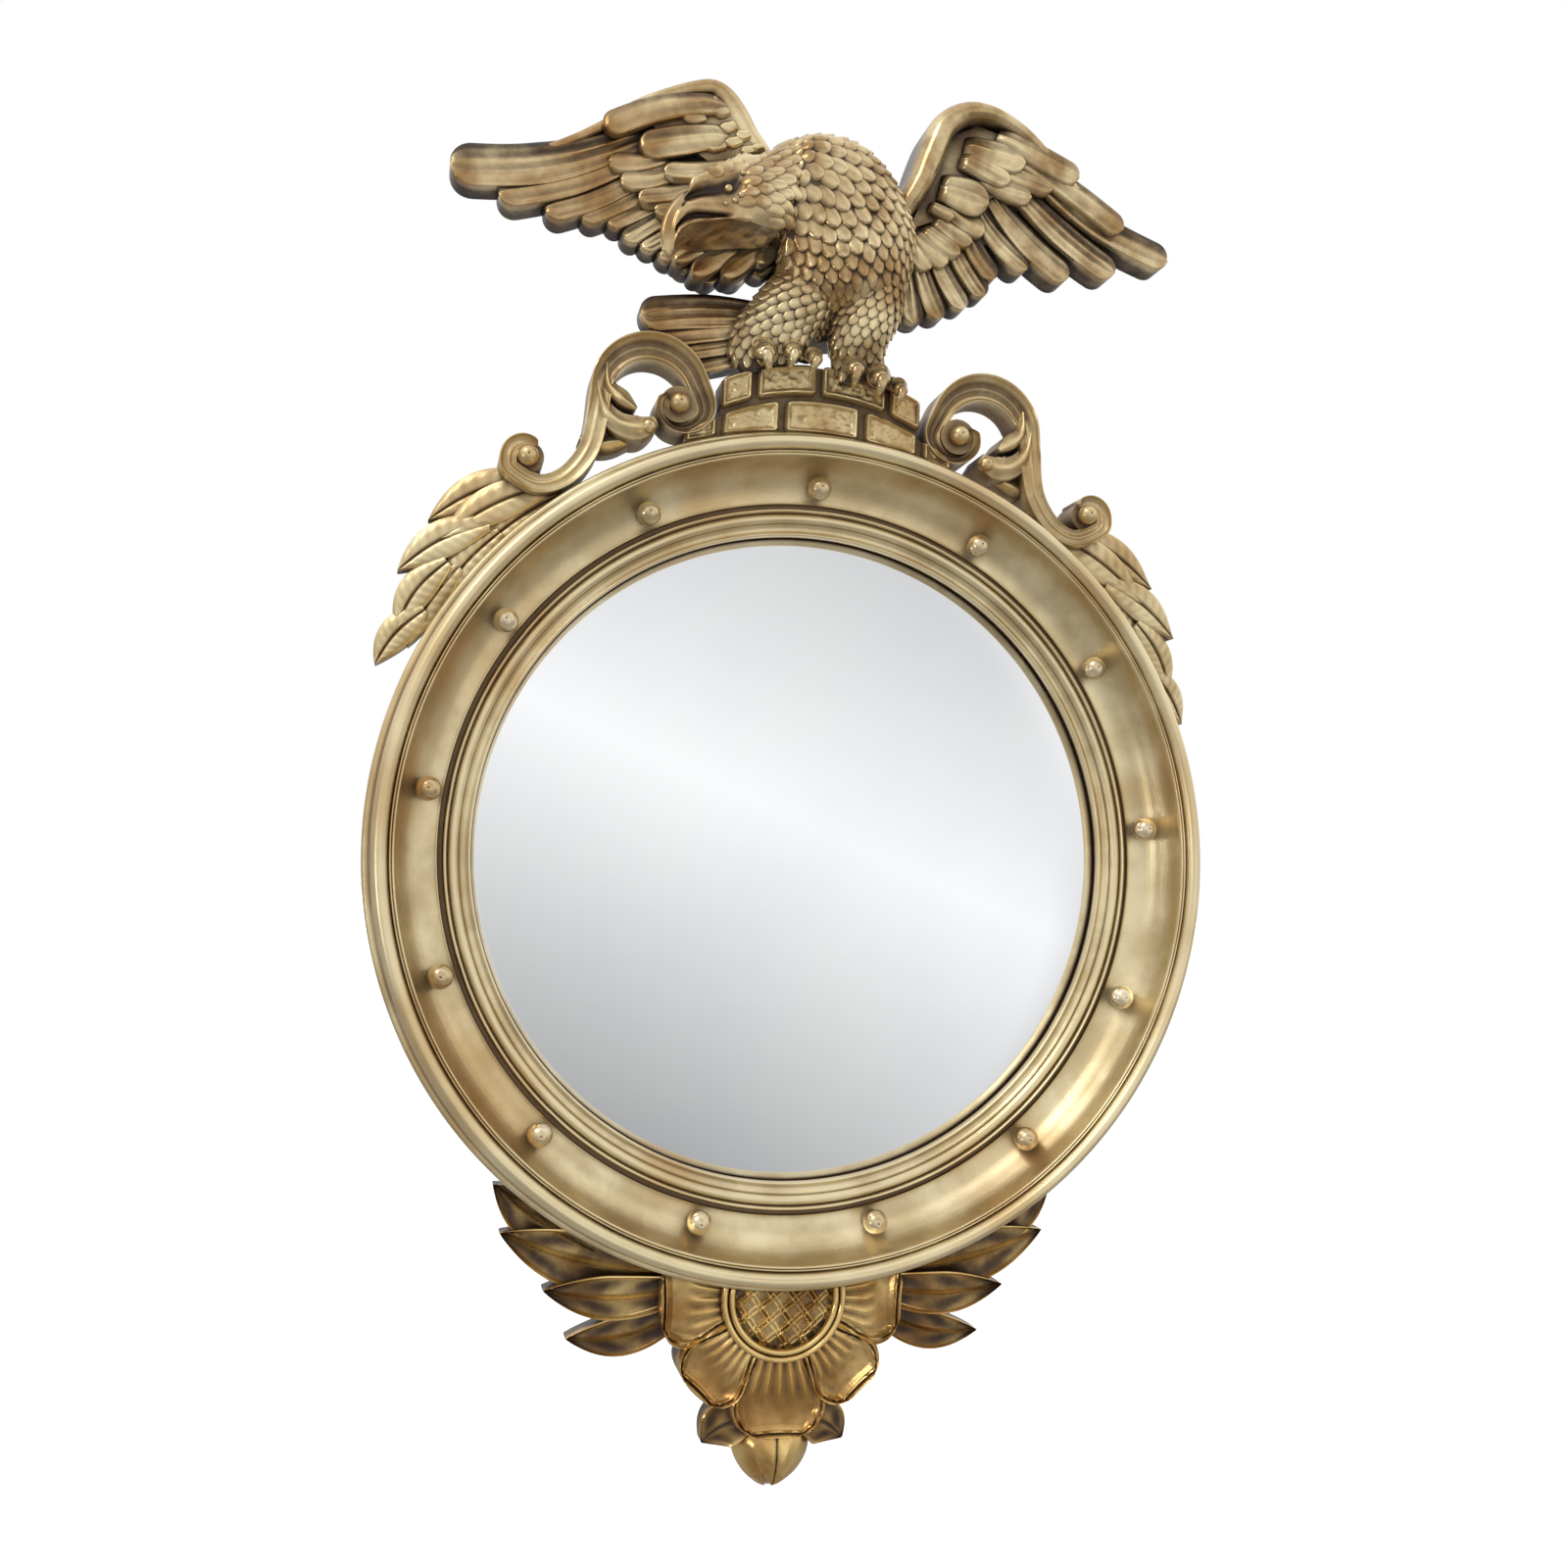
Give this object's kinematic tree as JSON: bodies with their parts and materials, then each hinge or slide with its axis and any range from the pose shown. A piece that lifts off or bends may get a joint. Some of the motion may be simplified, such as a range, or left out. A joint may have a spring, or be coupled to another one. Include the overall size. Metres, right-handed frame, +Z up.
{
  "type": "girandole mirror",
  "caption": "Round gilt wall mirror with a convex glass and balls in its cove, under a spread-winged eagle on a stone plinth with scrolls and leaves, over a flower pendant.",
  "frame": {"origin": "middle of the ring, on the backboard's rear face, which lies on the wall", "axes": "+Z up along the wall, +Y into the wall, so the front faces -Y; +X to the viewer's right"},
  "size_m": [0.465, 0.0789, 0.7654],
  "materials": {
    "champagne_gilt": "carved and turned wood, gessoed, satin champagne-gold paint with brown patina",
    "eagle_gilt": "carved wood, gessoed, bronze-gold paint, semi-gloss, dark in the hollows",
    "pendant_gilt": "carved wood, gessoed, deeper gold, polished",
    "silvered_glass": "convex silvered glass",
    "backboard_wood": "plain board, stained",
    "zinc_steel": "zinc-plated"
  },
  "bodies": {
    "root": {"ring_frame": "champagne_gilt", "sight_rim": "champagne_gilt", "mirror_glass": "silvered_glass", "backboard": "backboard_wood", "backboard_screw_1": "zinc_steel", "backboard_screw_2": "zinc_steel", "backboard_screw_3": "zinc_steel", "backboard_screw_4": "zinc_steel", "backboard_screw_5": "zinc_steel", "backboard_screw_6": "zinc_steel", "backboard_screw_7": "zinc_steel", "backboard_screw_8": "zinc_steel", "ball_01": "champagne_gilt", "ball_02": "champagne_gilt", "ball_03": "champagne_gilt", "ball_04": "champagne_gilt", "ball_05": "champagne_gilt", "ball_06": "champagne_gilt", "ball_07": "champagne_gilt", "ball_08": "champagne_gilt", "ball_09": "champagne_gilt", "ball_10": "champagne_gilt", "ball_11": "champagne_gilt", "ball_12": "champagne_gilt", "ball_13": "champagne_gilt", "rock_plinth": "champagne_gilt", "eagle_torso": "eagle_gilt", "eagle_head": "eagle_gilt", "foot_left": "eagle_gilt", "foot_right": "eagle_gilt", "wing_left": "eagle_gilt", "wing_right": "eagle_gilt", "tail_feathers": "eagle_gilt", "scroll_left": "champagne_gilt", "scroll_right": "champagne_gilt", "leaf_spray_left": "champagne_gilt", "leaf_spray_right": "champagne_gilt", "flower_boss": "pendant_gilt", "pendant_flower": "pendant_gilt", "pendant_leaves_left": "pendant_gilt", "pendant_leaves_right": "pendant_gilt", "pendant_bud": "pendant_gilt", "crest_strap": "zinc_steel", "crest_strap_screw_1": "zinc_steel", "crest_strap_screw_2": "zinc_steel", "crest_strap_screw_3": "zinc_steel", "crest_strap_screw_4": "zinc_steel", "pendant_strap": "zinc_steel", "pendant_strap_screw_1": "zinc_steel", "pendant_strap_screw_2": "zinc_steel", "pendant_strap_screw_3": "zinc_steel", "pendant_strap_screw_4": "zinc_steel", "sawtooth_hanger": "zinc_steel", "hanger_nail_1": "zinc_steel", "hanger_nail_2": "zinc_steel"}
  },
  "joints": []
}
